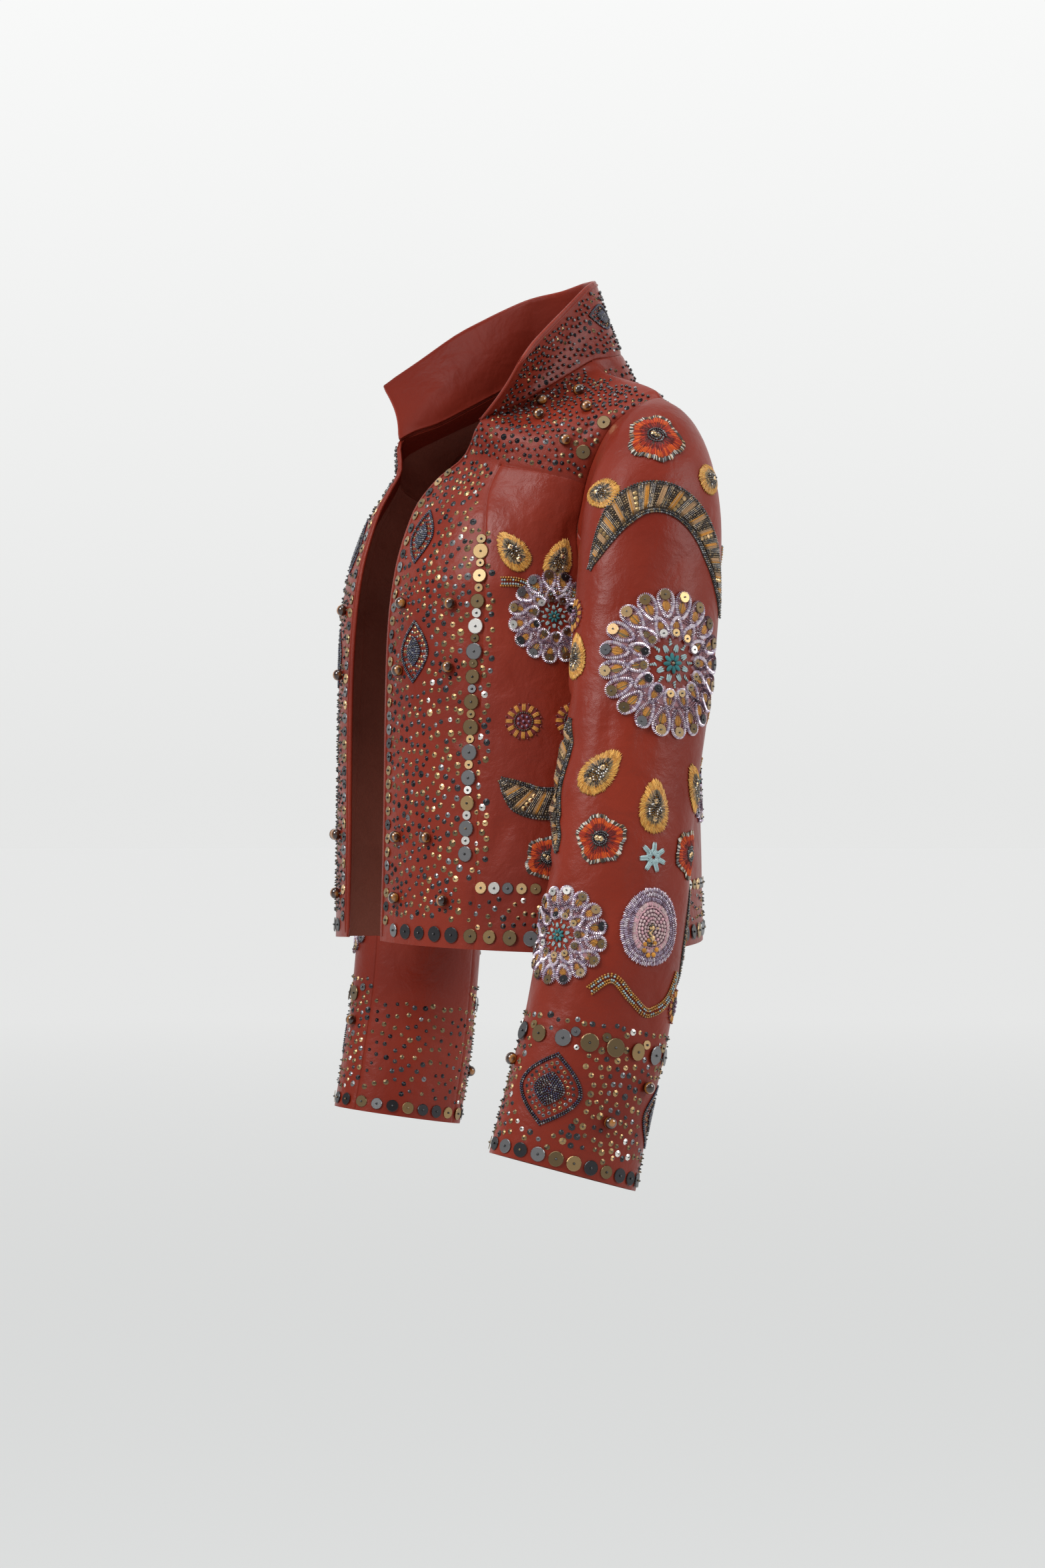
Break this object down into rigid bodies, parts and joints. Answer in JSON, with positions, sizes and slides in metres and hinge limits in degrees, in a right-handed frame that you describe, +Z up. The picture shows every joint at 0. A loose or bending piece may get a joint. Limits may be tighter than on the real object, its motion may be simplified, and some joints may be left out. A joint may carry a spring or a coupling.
{
  "type": "embroidered leather jacket",
  "caption": "Cropped red leather jacket, open at the front, with a stand collar and two-piece sleeves, covered in beadwork and flower embroidery, hollow as worn",
  "frame": {"origin": "on the middle line between the shoulders, at the mean height of the shoulder seams, where the wearer's shoulders hold the jacket", "axes": "+Z up, the front faces -Y, the wearer's left is +X"},
  "size_m": [0.6282, 0.2981, 0.7683],
  "materials": {
    "shell_leather": "smooth brick-red leather with a fine grain and a soft sheen",
    "facing_leather": "smooth plain brick-red leather",
    "beadwork": "gunmetal, bronze and dark blue glass beads",
    "sequins": "metallic cup sequins in gunmetal, bronze, gold and silver",
    "thread": "satin-stitched wool and silk embroidery"
  },
  "bodies": {
    "root": {"front_left": "shell_leather", "front_right": "shell_leather", "side_front_left": "shell_leather", "side_front_right": "shell_leather", "back": "shell_leather", "upper_sleeve_left": "shell_leather", "upper_sleeve_right": "shell_leather", "under_sleeve_left": "shell_leather", "under_sleeve_right": "shell_leather", "collar": "shell_leather", "collar_facing": "facing_leather", "front_facing_left": "facing_leather", "front_facing_right": "facing_leather"}
  },
  "joints": []
}
